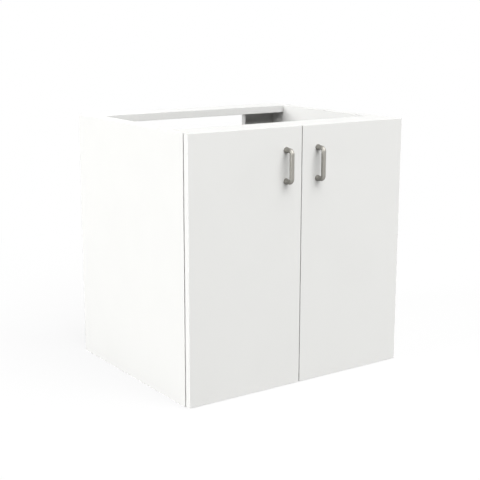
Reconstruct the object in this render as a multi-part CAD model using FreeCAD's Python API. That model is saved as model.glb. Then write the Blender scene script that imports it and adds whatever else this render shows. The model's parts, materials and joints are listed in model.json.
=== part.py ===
import FreeCAD, Part
import math
import os

# Two-door vanity base cabinet: open top and back, slab doors on concealed hinges.
# Millimetres. +X to the right, +Y to the back, +Z up, origin under the middle of the bounding box.

V = FreeCAD.Vector

# Overall sizes
WIDTH = 600.0
HEIGHT = 600.0
DEPTH = 500.0            # rear of the carcass to the door fronts

# Boards
BOARD = 18.0             # every carcass board
DOOR_BOARD = 16.0
EDGING = 1.0             # strip glued to a visible cut edge
EDGE_ROUND = 0.6         # its two outer arrises
RAIL_DEPTH = 70.0        # top rails, front to back
STRIP_WIDTH = 100.0      # upright back strips
CLEAT_THICK = 12.0       # battens along the top of the sides
CLEAT_HEIGHT = 70.0

# Doors
DOOR_GAP = 2.0           # carcass front to the back of the doors
DOOR_SPLIT = 2.0         # between the two doors
DOOR_REVEAL = 1.0        # side's outer face to the door's edge
DOOR_LIFT = 2.0          # base to the door's bottom edge
BUMPER_R = 4.0
BUMPER_AIR = 0.3         # bumper to the carcass, door shut
BUMPER_INSET = 30.0      # from the door's free edge

# Handles: a bent round rod on two tapered feet
HANDLE_REACH = 27.0      # door face to the front of the bar
HANDLE_PITCH = 70.0      # between the feet
HANDLE_ROD_R = 5.25
HANDLE_BEND_R = 8.0      # centre line of the bends
HANDLE_FOOT_R = 7.0      # at the door
HANDLE_FOOT_H = 12.0     # length of the taper
HANDLE_INSET = 43.5      # door's free edge to the feet
HANDLE_DROP = 51.0       # door's top edge to the upper foot

# Fasteners
FIT = 0.08               # radial play of a fastener in its hole
DRIVE_R = 1.1            # driver recess in a screw head
DRIVE_DEPTH = 1.2
HANDLE_SCREW_R = 2.0
HANDLE_SCREW_BITE = 9.0  # thread inside the handle's foot
HANDLE_SCREW_HEAD_R = 4.0
HANDLE_SCREW_HEAD_H = 2.2
CLEAT_SCREW_R = 2.0
CLEAT_SCREW_HEAD_R = 4.0
CLEAT_SCREW_BITE = 12.0  # into the side
CLEAT_SCREW_INSET = 40.0 # cleat's ends to the outer screws
CLEAT_SCREW_DROP = 50.0  # cleat's top to the screws
CLEAT_SCREWS = 3

# Knock-down fittings at the board joints
CAM_R = 7.5
CAM_HEIGHT = 13.0
CAM_REACH = 34.0         # joint to the cam's centre
CAM_SLOT = 7.4           # throat that takes the bolt's head
CAM_DRIVE = 1.6          # cross recess, width
CAM_DRIVE_DEPTH = 2.0
BOLT_R = 2.5             # threaded end in the side
BOLT_BITE = 11.0
BOLT_SHANK_R = 3.0
BOLT_NECK_R = 1.9
BOLT_NECK = 5.0
BOLT_HEAD_R = 3.4
BOLT_HEAD = 3.0
BOLT_BORE_R = 4.0        # bore in the end of the board
BORE_TURN = 45.0
DOWEL_R = 4.0
DOWEL_LENGTH = 30.0
DOWEL_BITE = 11.0        # part of the dowel in the side
DOWEL_CHAMFER = 1.0
DOWEL_END_AIR = 0.5      # glue space past the dowel's ends
RAIL_FITTING_INSET = 19.0    # rail's edges to its cam and its dowel
BASE_FITTING_INSET = 60.0    # bottom panel's edges to its cams
STRIP_FITTING_INSET = 110.0  # strip's ends to its cams
FITTING_STEP = 32.0          # cam to the dowel beside it

# Places worked out from the sizes above, for the left half; the right half mirrors it
SIDE_OUT = -WIDTH / 2
SIDE_IN = SIDE_OUT + BOARD
BACK = (DEPTH + HANDLE_REACH) / 2
DOOR_FRONT = BACK - DEPTH
DOOR_BACK = DOOR_FRONT + DOOR_BOARD
FRONT = DOOR_BACK + DOOR_GAP
RAIL_UNDER = HEIGHT - BOARD
DOOR_OUT = SIDE_OUT + DOOR_REVEAL
DOOR_FREE = -DOOR_SPLIT / 2
HANDLE_X = DOOR_FREE - HANDLE_INSET
HANDLE_TOP = HEIGHT - HANDLE_DROP
HANDLE_FEET = (HANDLE_TOP, HANDLE_TOP - HANDLE_PITCH)
BOLT_LEVEL = BOARD / 2


def block(x, y, z):
    """Box between the low and high values of each pair."""
    return Part.makeBox(x[1] - x[0], y[1] - y[0], z[1] - z[0], V(x[0], y[0], z[0]))


def rod(radius, start, direction, length):
    return Part.makeCylinder(radius, length, start, direction)


def mirrored(shape):
    return shape.mirror(V(0, 0, 0), V(1, 0, 0))


def strip(x, y, z, outward):
    """Edging strip in a box; outward is the direction that its rounded face looks in."""
    body = block(x, y, z)
    sides = (V(1, 0, 0), V(0, 1, 0), V(0, 0, 1))
    spans = [hi - lo for lo, hi in (x, y, z)]
    run = sides[spans.index(max(spans))]
    face = max(body.Faces, key=lambda f: f.CenterOfMass.dot(outward))
    arrises = [e for e in face.Edges if abs(e.tangentAt(e.FirstParameter).dot(run)) > 0.5]
    return body.makeFillet(EDGE_ROUND, arrises)


def cut_all(shape, tools):
    return shape.cut(Part.makeCompound(tools)) if tools else shape


def save(name, solids):
    """One file per node; a group of like pieces is written as separate solids."""
    shape = solids[0] if len(solids) == 1 else Part.makeCompound(solids)
    shape.exportStep("parts/" + name + ".step")


def save_pair(name, solids):
    """The left piece and its mirror image; name holds a blank for the side."""
    save(name.format("left"), solids)
    save(name.format("right"), [mirrored(s) for s in solids])


def revolve_profile(points, start, direction):
    """Solid of revolution from (radius, height) points, set on start along direction."""
    wire = Part.makePolygon([V(r, 0, h) for r, h in points + points[:1]])
    solid = Part.Face(wire).revolve(V(0, 0, 0), V(0, 0, 1), 360)
    solid.Placement = FreeCAD.Placement(start, FreeCAD.Rotation(V(0, 0, 1), direction))
    return solid


def pan_screw(shank_r, length, head_r, head_h, seat, direction):
    """Round-headed screw: seat is under the head, direction points along the shank."""
    rim = head_h * 0.45
    profile = [(0, DRIVE_DEPTH - head_h), (DRIVE_R, DRIVE_DEPTH - head_h), (DRIVE_R, -head_h),
               (head_r - rim, -head_h), (head_r, -head_h + rim), (head_r, 0), (shank_r, 0),
               (shank_r, length), (0, length)]
    return revolve_profile(profile, seat, direction)


def flush_screw(shank_r, length, head_r, seat, direction):
    """Countersunk screw: seat is on the surface, direction points along the shank."""
    profile = [(0, DRIVE_DEPTH), (DRIVE_R, DRIVE_DEPTH), (DRIVE_R, 0), (head_r, 0),
               (shank_r, head_r - shank_r), (shank_r, length), (0, length)]
    return revolve_profile(profile, seat, direction)


def flush_hole(shank_r, length, head_r, seat, direction):
    profile = [(0, 0), (head_r + FIT, 0), (shank_r + FIT, head_r - shank_r), (shank_r + FIT, length + FIT),
               (0, length + FIT)]
    return revolve_profile(profile, seat, direction)


# Board joints: each names the mouth of its cam pocket and the dowel that goes beside it
def down_joint(y, under, step):
    """Joint of a flat board: the cam's pocket opens downwards."""
    return {"cam": V(SIDE_IN + CAM_REACH, y, under), "turn": 0, "bolt": V(SIDE_IN, y, under + BOLT_LEVEL),
            "dowel": V(SIDE_IN, y + step, under + BOLT_LEVEL)}


def rear_joint(z, step):
    """Joint of an upright back strip: the cam's pocket opens to the rear."""
    return {"cam": V(SIDE_IN + CAM_REACH, BACK, z), "turn": 90, "bolt": V(SIDE_IN, BACK - BOLT_LEVEL, z),
            "dowel": V(SIDE_IN, BACK - BOLT_LEVEL, z + step)}


RAIL_STEP = RAIL_DEPTH - 2 * RAIL_FITTING_INSET
FRONT_RAIL_JOINTS = [down_joint(FRONT + RAIL_FITTING_INSET, RAIL_UNDER, RAIL_STEP)]
REAR_RAIL_JOINTS = [down_joint(BACK - RAIL_FITTING_INSET, RAIL_UNDER, -RAIL_STEP)]
BASE_JOINTS = [down_joint(FRONT + BASE_FITTING_INSET, 0, FITTING_STEP),
               down_joint(BACK - BASE_FITTING_INSET, 0, -FITTING_STEP)]
STRIP_JOINTS = [rear_joint(BOARD + STRIP_FITTING_INSET, FITTING_STEP),
                rear_joint(RAIL_UNDER - STRIP_FITTING_INSET, -FITTING_STEP)]
ALL_JOINTS = FRONT_RAIL_JOINTS + REAR_RAIL_JOINTS + BASE_JOINTS + STRIP_JOINTS


def cam_lock(joint):
    """Round cam with a throat for the bolt's head and a cross recess in its face."""
    body = rod(CAM_R, V(0, 0, 0), V(0, 0, 1), CAM_HEIGHT)
    throat_end = BOLT_HEAD_R + FIT
    throat = block((-CAM_R, throat_end), (-CAM_SLOT / 2, CAM_SLOT / 2),
                   (BOLT_LEVEL - CAM_SLOT / 2, CAM_HEIGHT))
    arm = CAM_R * 0.6
    cross = [block((-arm, arm), (-CAM_DRIVE / 2, CAM_DRIVE / 2), (0, CAM_DRIVE_DEPTH)),
             block((-CAM_DRIVE / 2, CAM_DRIVE / 2), (-arm, arm), (0, CAM_DRIVE_DEPTH))]
    body = body.cut(throat).cut(cross[0].fuse(cross[1]))
    body.Placement = FreeCAD.Placement(joint["cam"], FreeCAD.Rotation(V(1, 0, 0), joint["turn"]))
    return body


def cam_pocket(joint):
    pocket = rod(CAM_R + FIT, V(0, 0, 0), V(0, 0, 1), CAM_HEIGHT)
    pocket.Placement = FreeCAD.Placement(joint["cam"], FreeCAD.Rotation(V(1, 0, 0), joint["turn"]))
    return pocket


def cam_bolt(joint):
    """Screwed into the side, with a neck and head that the cam draws in."""
    head_end = CAM_REACH + BOLT_HEAD / 2
    neck_start = CAM_REACH - BOLT_HEAD / 2 - BOLT_NECK
    profile = [(0, -BOLT_BITE), (BOLT_R, -BOLT_BITE), (BOLT_R, 0), (BOLT_SHANK_R, 0),
               (BOLT_SHANK_R, neck_start), (BOLT_NECK_R, neck_start), (BOLT_NECK_R, neck_start + BOLT_NECK),
               (BOLT_HEAD_R, neck_start + BOLT_NECK), (BOLT_HEAD_R, head_end), (0, head_end)]
    return revolve_profile(profile, joint["bolt"], V(1, 0, 0))


def dowel(joint):
    ends = (-DOWEL_BITE, DOWEL_LENGTH - DOWEL_BITE)
    tip = DOWEL_R - DOWEL_CHAMFER
    profile = [(0, ends[0]), (tip, ends[0]), (DOWEL_R, ends[0] + DOWEL_CHAMFER),
               (DOWEL_R, ends[1] - DOWEL_CHAMFER), (tip, ends[1]), (0, ends[1])]
    return revolve_profile(profile, joint["dowel"], V(1, 0, 0))


def dowel_hole(joint, length, direction):
    return rod(DOWEL_R + FIT, joint["dowel"], direction, length + DOWEL_END_AIR)


def bolt_bore(joint):
    """Bore from the board's end to the cam, turned so that its seam meets the pocket at a slant."""
    bore = rod(BOLT_BORE_R, joint["bolt"], V(1, 0, 0), CAM_REACH)
    bore.rotate(joint["bolt"], V(1, 0, 0), BORE_TURN)
    return bore


def board_bores(joints):
    """What the joints take out of the end of the board."""
    tools = []
    for joint in joints:
        tools.append(cam_pocket(joint))
        tools.append(bolt_bore(joint))
        tools.append(dowel_hole(joint, DOWEL_LENGTH - DOWEL_BITE, V(1, 0, 0)))
    return tools


def side_bores(joints):
    """What the joints take out of the side's inner face."""
    tools = []
    for joint in joints:
        tools.append(rod(BOLT_R + FIT, joint["bolt"], V(-1, 0, 0), BOLT_BITE + FIT))
        tools.append(dowel_hole(joint, DOWEL_BITE, V(-1, 0, 0)))
    return tools


def both_ends(tools):
    return tools + [mirrored(t) for t in tools]


# Cleats along the top of the sides
CLEAT_Y = (FRONT + RAIL_DEPTH, BACK - BOARD)
CLEAT_Z = (HEIGHT - CLEAT_HEIGHT, HEIGHT)


def cleat_screw_seats():
    first, last = CLEAT_Y[0] + CLEAT_SCREW_INSET, CLEAT_Y[1] - CLEAT_SCREW_INSET
    step = (last - first) / (CLEAT_SCREWS - 1)
    level = CLEAT_Z[1] - CLEAT_SCREW_DROP
    return [V(SIDE_IN + CLEAT_THICK, first + step * n, level) for n in range(CLEAT_SCREWS)]


CLEAT_SCREW_LENGTH = CLEAT_THICK + CLEAT_SCREW_BITE
CLEAT_HOLES = [flush_hole(CLEAT_SCREW_R, CLEAT_SCREW_LENGTH, CLEAT_SCREW_HEAD_R, seat, V(-1, 0, 0))
               for seat in cleat_screw_seats()]


def make_cleats():
    """Battens from the front rail to the back strips, notched for the rear rail."""
    across = (SIDE_IN, SIDE_IN + CLEAT_THICK)
    cleat = block(across, CLEAT_Y, CLEAT_Z)
    notch = block(across, (BACK - RAIL_DEPTH, CLEAT_Y[1]), (RAIL_UNDER, HEIGHT))
    save_pair("{}_side_cleat", [cut_all(cleat, CLEAT_HOLES + [notch])])
    screws = [flush_screw(CLEAT_SCREW_R, CLEAT_SCREW_LENGTH, CLEAT_SCREW_HEAD_R, seat, V(-1, 0, 0))
              for seat in cleat_screw_seats()]
    save("cleat_screws", screws + [mirrored(s) for s in screws])


def make_sides():
    across = (SIDE_OUT, SIDE_IN)
    core = block(across, (FRONT + EDGING, BACK), (0, HEIGHT - EDGING))
    core = cut_all(core, side_bores(ALL_JOINTS) + CLEAT_HOLES + HINGE_SIDE_HOLES)
    front_strip = strip(across, (FRONT, FRONT + EDGING), (0, HEIGHT), V(0, -1, 0))
    top_strip = strip(across, (FRONT + EDGING, BACK), (HEIGHT - EDGING, HEIGHT), V(0, 0, 1))
    save_pair("{}_side", [core])
    save_pair("{}_side_edging", [front_strip, top_strip])


def make_bottom():
    between = (SIDE_IN, -SIDE_IN)
    core = block(between, (FRONT + EDGING, BACK), (0, BOARD))
    save("bottom_panel", [cut_all(core, both_ends(board_bores(BASE_JOINTS)))])
    save("bottom_edging", [strip(between, (FRONT, FRONT + EDGING), (0, BOARD), V(0, -1, 0))])


def make_rails():
    between = (SIDE_IN, -SIDE_IN)
    level = (RAIL_UNDER, HEIGHT)
    inner = FRONT + RAIL_DEPTH
    core = block(between, (FRONT + EDGING, inner - EDGING), level)
    save("front_top_rail", [cut_all(core, both_ends(board_bores(FRONT_RAIL_JOINTS)))])
    save("front_rail_edging", [strip(between, (FRONT, FRONT + EDGING), level, V(0, -1, 0)),
                               strip(between, (inner - EDGING, inner), level, V(0, 1, 0))])
    inner = BACK - RAIL_DEPTH
    core = block(between, (inner + EDGING, BACK), level)
    save("rear_top_rail", [cut_all(core, both_ends(board_bores(REAR_RAIL_JOINTS)))])
    save("rear_rail_edging", [strip(between, (inner, inner + EDGING), level, V(0, -1, 0))])


def make_back_strips():
    inner = SIDE_IN + STRIP_WIDTH
    through = (BACK - BOARD, BACK)
    upright = (BOARD, RAIL_UNDER)
    core = block((SIDE_IN, inner - EDGING), through, upright)
    save_pair("{}_back_strip", [cut_all(core, board_bores(STRIP_JOINTS))])
    save_pair("{}_strip_edging", [strip((inner - EDGING, inner), through, upright, V(1, 0, 0))])


def make_fittings():
    for name, make in (("cam_locks", cam_lock), ("cam_bolts", cam_bolt), ("dowels", dowel)):
        pieces = [make(joint) for joint in ALL_JOINTS]
        save(name, pieces + [mirrored(p) for p in pieces])


# Concealed hinges. Plan places (u, v) run inwards from the side and back from the carcass front.
HINGE_INSET = 100.0      # cabinet's top and base to the hinge centres
CUP_R = 17.5
CUP_WALL = 2.0
CUP_DEPTH = 12.0
CUP_FLOOR = 0.7
CUP_EDGE = 3.5           # door's edge to the cup
FLANGE = 1.0             # plate that lies on the door's back
FLANGE_R = 19.5
WING_REACH = 22.5        # cup's centre to its screws, up and down
WING_SHIFT = 9.5         # cup's centre to its screws, away from the door's edge
WING_R = 6.0
CUP_SCREW_R = 1.75
CUP_SCREW_HEAD_R = 3.2
CUP_SCREW_HEAD_H = 1.0
CUP_SCREW_BITE = 11.0
PIVOT_ARM_OUTER = (18.5, 2.25)    # arm to outer link
PIVOT_CUP_OUTER = (-5.45, -4.0)   # outer link to cup
PIVOT_CUP_INNER = (-6.4, -8.7)    # inner link to cup
PIVOT_ARM_INNER = (22.0, 5.75)    # inner link to arm
KNEE_OUTER = (-2.3, -4.95)        # bends of the links, so that they clear the cup's rim
KNEE_INNER = (0.5, -10.95)
SLOT_TRAVEL = 2.5        # slide of the inner link's pin along its slot in the arm
SLOT_AIR = 0.45          # play beside that pin
PIN_R = 1.25
PIN_PLAY = 0.06          # running clearance of a link on its pin
PIN_BITE = 1.2           # end of a pin let into the cup's wall
LINK_HALF = 2.1          # half the width of a link
EYE_R = 2.6
LINK_THICK = 5.2
LINK_AIR = 0.4           # each side of a link, along the pins
CHEEK = 1.5              # arm's side walls
ARM_NOSE_R = 2.8
ARM_SLOT_NOSE_R = 3.4
ARM_NECK_HALF = 4.2
ARM_NECK = (8.0, 20.0)   # where the neck leaves the channel
ARM_START = 14.0         # channel, from its front end to its tail
ARM_TAIL = 62.0
ARM_TOP = 11.0
ARM_WEB = 1.5
PLATE = 2.0              # mounting plate's base
PLATE_SCREW_SETBACK = 37.0
PLATE_SCREW_REACH = 16.0
PLATE_WING_HALF = 7.0    # half the width of the plate's wings
PLATE_START = 20.0       # raised rail under the arm
PLATE_END = 58.0
PLATE_RAIL_AIR = 0.3     # rail to the arm's side walls
PLATE_SCREW_R = 2.4
PLATE_SCREW_HEAD_R = 4.2
PLATE_SCREW_HEAD_H = 2.0
PLATE_SCREW_BITE = 12.0
ARM_SCREW_R = 2.5
ARM_SCREW_HEAD_R = 4.4
ARM_SCREW_HEAD_H = 2.2
ARM_SCREW_BITE = 5.0
ARM_SCREW_SETBACKS = {"clamp": 50.0, "adjusting": 28.0}

HINGE_LEVELS = {"upper": HEIGHT - HINGE_INSET, "lower": HINGE_INSET}
CUP_U = DOOR_OUT - SIDE_IN + CUP_EDGE + CUP_R
DOOR_V = DOOR_BACK - FRONT
CUP_IN_R = CUP_R - CUP_WALL
CHEEK_IN = LINK_AIR + LINK_THICK + LINK_AIR
CHEEK_OUT = CHEEK_IN + CHEEK
RAIL_TOP = ARM_TOP - ARM_WEB


def plan(place, z=0.0):
    return V(SIDE_IN + place[0], FRONT + place[1], z)


def disc(place, radius, z, thick):
    return rod(radius, plan(place, z), V(0, 0, 1), thick)


def bar(start, end, half, z, thick):
    """Straight link body with round ends, seen in plan."""
    run = (end[0] - start[0], end[1] - start[1])
    length = math.hypot(*run)
    side = (-run[1] / length * half, run[0] / length * half)
    corners = [(start[0] + side[0], start[1] + side[1]), (end[0] + side[0], end[1] + side[1]),
               (end[0] - side[0], end[1] - side[1]), (start[0] - side[0], start[1] - side[1])]
    outline = Part.makePolygon([plan(c, z) for c in corners + corners[:1]])
    body = Part.Face(outline).extrude(V(0, 0, thick))
    return body.fuse([disc(start, half, z, thick), disc(end, half, z, thick)])


def link(arm_pivot, knee, cup_pivot, z):
    """Bent bar with an eye at each end."""
    body = bar(arm_pivot, knee, LINK_HALF, z, LINK_THICK)
    body = body.fuse([bar(knee, cup_pivot, LINK_HALF, z, LINK_THICK),
                      disc(arm_pivot, EYE_R, z, LINK_THICK), disc(cup_pivot, EYE_R, z, LINK_THICK)])
    eyes = [disc(p, PIN_R + PIN_PLAY, z, LINK_THICK) for p in (arm_pivot, cup_pivot)]
    return cut_all(body, eyes).removeSplitter()


def cup_pin_reach(place):
    """Half length of the cup's hollow beside a pin, with the pin's seat in the wall."""
    return math.sqrt(CUP_IN_R ** 2 - (place[0] - CUP_U) ** 2) + PIN_BITE


def slot_end():
    """Furthest place of the inner link's arm pin along its slot, with the door about half open."""
    run = [PIVOT_CUP_INNER[i] - PIVOT_ARM_INNER[i] for i in (0, 1)]
    length = math.hypot(*run)
    return [PIVOT_ARM_INNER[i] + run[i] / length * SLOT_TRAVEL for i in (0, 1)]


def cup_axis(radius, low, high, z=0.0):
    """Cylinder about the cup's axis between two places in v."""
    return rod(radius, plan((CUP_U, low), z), V(0, 1, 0), high - low)


def wing_seats(z):
    return [plan((CUP_U + WING_SHIFT, DOOR_V), z + s * WING_REACH) for s in (-1, 1)]


def hinge_cup():
    """Pressed cup with a flange and two screw wings, open towards the door's edge for the links."""
    body = cup_axis(CUP_R, DOOR_V - CUP_DEPTH, DOOR_V)
    flange = cup_axis(FLANGE_R, DOOR_V, DOOR_V + FLANGE)
    for seat in wing_seats(0.0):
        flange = flange.fuse(rod(WING_R, seat, V(0, 1, 0), FLANGE))
    web = block((SIDE_IN + CUP_U + WING_SHIFT - WING_R, SIDE_IN + CUP_U + WING_SHIFT + WING_R),
                (DOOR_BACK, DOOR_BACK + FLANGE), (-WING_REACH, WING_REACH))
    body = body.fuse([flange, web])
    hollow = cup_axis(CUP_IN_R, DOOR_V - CUP_DEPTH + CUP_FLOOR, DOOR_V + FLANGE)
    gate = block((SIDE_IN + CUP_U - FLANGE_R, SIDE_IN + CUP_U), (DOOR_BACK, DOOR_BACK + FLANGE),
                 (-CHEEK_IN, CHEEK_IN))
    tools = [hollow, gate]
    tools += [rod(CUP_SCREW_R + FIT, seat, V(0, 1, 0), FLANGE) for seat in wing_seats(0.0)]
    tools += [rod(PIN_R + FIT, plan(place), V(0, 0, s), cup_pin_reach(place))
              for place, s in ((PIVOT_CUP_OUTER, -1), (PIVOT_CUP_INNER, 1))]
    return cut_all(body, tools).removeSplitter()


def hinge_cup_pins():
    return [rod(PIN_R, plan(place, s * LINK_AIR), V(0, 0, s), cup_pin_reach(place) - LINK_AIR)
            for place, s in ((PIVOT_CUP_OUTER, -1), (PIVOT_CUP_INNER, 1))]


def hinge_arm():
    """Channel with a necked-down nose; each cheek carries one of the two pivots."""
    pieces = []
    noses = {-1: [(PIVOT_ARM_OUTER, ARM_NOSE_R)],
             1: [(PIVOT_ARM_INNER, ARM_SLOT_NOSE_R), (slot_end(), ARM_SLOT_NOSE_R)]}
    for s, eyes in noses.items():
        z = CHEEK_IN if s > 0 else -CHEEK_OUT
        pieces.append(block((SIDE_IN + PLATE, SIDE_IN + ARM_TOP), (FRONT + ARM_START, FRONT + ARM_TAIL),
                            (z, z + CHEEK)))
        pieces.append(bar(ARM_NECK, eyes[-1][0], ARM_NECK_HALF if s > 0 else ARM_NOSE_R, z, CHEEK))
        pieces += [bar(eyes[0][0], eyes[-1][0], r, z, CHEEK) for _, r in eyes[1:]]
        pieces += [disc(place, r, z, CHEEK) for place, r in eyes]
    pieces.append(block((SIDE_IN + RAIL_TOP, SIDE_IN + ARM_TOP), (FRONT + ARM_START, FRONT + ARM_TAIL),
                        (-CHEEK_OUT, CHEEK_OUT)))
    body = pieces[0].fuse(pieces[1:])
    tools = [disc(PIVOT_ARM_OUTER, PIN_R + FIT, -CHEEK_OUT, CHEEK),
             bar(PIVOT_ARM_INNER, slot_end(), PIN_R + SLOT_AIR, CHEEK_IN, CHEEK)]
    tools += [rod(ARM_SCREW_R + FIT, plan((RAIL_TOP, setback)), V(1, 0, 0), ARM_WEB)
              for setback in ARM_SCREW_SETBACKS.values()]
    return cut_all(body, tools).removeSplitter()


def hinge_arm_pin():
    return rod(PIN_R, plan(PIVOT_ARM_OUTER, -CHEEK_OUT), V(0, 0, 1), CHEEK_OUT - LINK_AIR)


def inner_link_pin():
    """Riveted into the inner link; its end rides in the arm's slot."""
    return rod(PIN_R, plan(PIVOT_ARM_INNER, LINK_AIR), V(0, 0, 1), CHEEK_OUT - LINK_AIR)


def plate_screw_seats(z):
    return [plan((PLATE, PLATE_SCREW_SETBACK), z + s * PLATE_SCREW_REACH) for s in (-1, 1)]


def mounting_plate():
    """Winged plate on the side, with a raised rail that the arm slides over."""
    half = CHEEK_IN - PLATE_RAIL_AIR
    rail = block((SIDE_IN, SIDE_IN + RAIL_TOP), (FRONT + PLATE_START, FRONT + PLATE_END), (-half, half))
    middle = FRONT + PLATE_SCREW_SETBACK
    wings = block((SIDE_IN, SIDE_IN + PLATE), (middle - PLATE_WING_HALF, middle + PLATE_WING_HALF),
                  (-PLATE_SCREW_REACH, PLATE_SCREW_REACH))
    ends = [rod(PLATE_WING_HALF, seat, V(-1, 0, 0), PLATE) for seat in plate_screw_seats(0.0)]
    body = rail.fuse([wings] + ends)
    tools = [rod(PLATE_SCREW_R + FIT, seat, V(-1, 0, 0), PLATE) for seat in plate_screw_seats(0.0)]
    tools += [rod(ARM_SCREW_R + FIT, plan((RAIL_TOP, setback)), V(-1, 0, 0), ARM_SCREW_BITE + FIT)
              for setback in ARM_SCREW_SETBACKS.values()]
    return cut_all(body, tools).removeSplitter()


def at_level(shape, z):
    return shape.translated(V(0, 0, z))


def plate_screws(z):
    return [pan_screw(PLATE_SCREW_R, PLATE + PLATE_SCREW_BITE, PLATE_SCREW_HEAD_R, PLATE_SCREW_HEAD_H, seat,
                      V(-1, 0, 0)) for seat in plate_screw_seats(z)]


def arm_screw(z, setback):
    return pan_screw(ARM_SCREW_R, ARM_WEB + ARM_SCREW_BITE, ARM_SCREW_HEAD_R, ARM_SCREW_HEAD_H,
                     plan((ARM_TOP, setback), z), V(-1, 0, 0))


def cup_screws(z):
    return [pan_screw(CUP_SCREW_R, FLANGE + CUP_SCREW_BITE, CUP_SCREW_HEAD_R, CUP_SCREW_HEAD_H,
                      seat + V(0, FLANGE, 0), V(0, -1, 0)) for seat in wing_seats(z)]


HINGE_SIDE_HOLES = [rod(PLATE_SCREW_R + FIT, plan((0, PLATE_SCREW_SETBACK), z + s * PLATE_SCREW_REACH),
                        V(-1, 0, 0), PLATE_SCREW_BITE + FIT)
                    for z in HINGE_LEVELS.values() for s in (-1, 1)]
HINGE_DOOR_HOLES = [cup_axis(CUP_R + FIT, DOOR_V - CUP_DEPTH, DOOR_V, z) for z in HINGE_LEVELS.values()]
HINGE_DOOR_HOLES += [rod(CUP_SCREW_R + FIT, seat, V(0, -1, 0), CUP_SCREW_BITE + FIT)
                     for z in HINGE_LEVELS.values() for seat in wing_seats(z)]


def make_hinges():
    pins, plate_fixings, arm_fixings = [], [], {name: [] for name in ARM_SCREW_SETBACKS}
    cup_pins, cup_fixings, link_pins = [], [], []
    for level, z in HINGE_LEVELS.items():
        save_pair(level + "_{}_hinge_cup", [at_level(hinge_cup(), z)])
        save_pair(level + "_{}_hinge_arm", [at_level(hinge_arm(), z)])
        save_pair(level + "_{}_mounting_plate", [at_level(mounting_plate(), z)])
        save_pair(level + "_{}_outer_link", [at_level(link(PIVOT_ARM_OUTER, KNEE_OUTER, PIVOT_CUP_OUTER,
                                                           -LINK_AIR - LINK_THICK), z)])
        save_pair(level + "_{}_inner_link", [at_level(link(PIVOT_ARM_INNER, KNEE_INNER, PIVOT_CUP_INNER,
                                                           LINK_AIR), z)])
        pins.append(at_level(hinge_arm_pin(), z))
        link_pins.append(at_level(inner_link_pin(), z))
        cup_pins += [at_level(p, z) for p in hinge_cup_pins()]
        plate_fixings += plate_screws(z)
        cup_fixings += cup_screws(z)
        for name, setback in ARM_SCREW_SETBACKS.items():
            arm_fixings[name].append(arm_screw(z, setback))
    save("hinge_arm_pins", pins + [mirrored(p) for p in pins])
    save("plate_screws", plate_fixings + [mirrored(p) for p in plate_fixings])
    for name, screws in arm_fixings.items():
        save("arm_" + name + "_screws", screws + [mirrored(s) for s in screws])
    save_pair("{}_cup_pins", cup_pins)
    save_pair("{}_cup_screws", cup_fixings)
    save_pair("{}_link_pins", link_pins)


# Doors and what they carry
def handle_screw_holes():
    return [rod(HANDLE_SCREW_R + FIT, V(HANDLE_X, DOOR_BACK, z), V(0, -1, 0), DOOR_BOARD)
            for z in HANDLE_FEET]


def make_doors():
    through = (DOOR_FRONT, DOOR_BACK)
    inner_x = (DOOR_OUT + EDGING, DOOR_FREE - EDGING)
    core = block(inner_x, through, (DOOR_LIFT + EDGING, HEIGHT - EDGING))
    save_pair("{}_door", [cut_all(core, HINGE_DOOR_HOLES + handle_screw_holes())])
    upright = (DOOR_LIFT, HEIGHT)
    strips = [strip((DOOR_OUT, DOOR_OUT + EDGING), through, upright, V(-1, 0, 0)),
              strip((DOOR_FREE - EDGING, DOOR_FREE), through, upright, V(1, 0, 0)),
              strip(inner_x, through, (DOOR_LIFT, DOOR_LIFT + EDGING), V(0, 0, -1)),
              strip(inner_x, through, (HEIGHT - EDGING, HEIGHT), V(0, 0, 1))]
    save_pair("{}_door_edging", strips)


def make_handles():
    """Rod bent twice, on two feet that taper to it, tapped for the screws."""
    axis_y = DOOR_FRONT - HANDLE_REACH + HANDLE_ROD_R
    top, low = HANDLE_FEET
    bend = HANDLE_BEND_R
    chord = bend * (1 - math.sqrt(0.5))

    def at(y, z):
        return V(HANDLE_X, y, z)

    path = Part.Wire([
        Part.LineSegment(at(DOOR_FRONT, top), at(axis_y + bend, top)).toShape(),
        Part.Arc(at(axis_y + bend, top), at(axis_y + chord, top - chord), at(axis_y, top - bend)).toShape(),
        Part.LineSegment(at(axis_y, top - bend), at(axis_y, low + bend)).toShape(),
        Part.Arc(at(axis_y, low + bend), at(axis_y + chord, low + chord), at(axis_y + bend, low)).toShape(),
        Part.LineSegment(at(axis_y + bend, low), at(DOOR_FRONT, low)).toShape()])
    section = Part.Wire([Part.makeCircle(HANDLE_ROD_R, at(DOOR_FRONT, top), V(0, -1, 0))])
    bow = path.makePipeShell([section], True, True)
    for z in HANDLE_FEET:
        foot = Part.makeCone(HANDLE_FOOT_R, HANDLE_ROD_R - FIT, HANDLE_FOOT_H, at(DOOR_FRONT, z), V(0, -1, 0))
        bow = bow.fuse(foot)
    taps = [rod(HANDLE_SCREW_R + FIT, at(DOOR_FRONT, z), V(0, -1, 0), HANDLE_SCREW_BITE + FIT)
            for z in HANDLE_FEET]
    save_pair("{}_handle", [cut_all(bow, taps).removeSplitter()])
    screws = [pan_screw(HANDLE_SCREW_R, DOOR_BOARD + HANDLE_SCREW_BITE, HANDLE_SCREW_HEAD_R,
                        HANDLE_SCREW_HEAD_H, at(DOOR_BACK, z), V(0, -1, 0)) for z in HANDLE_FEET]
    save_pair("{}_handle_screws", screws)


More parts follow.
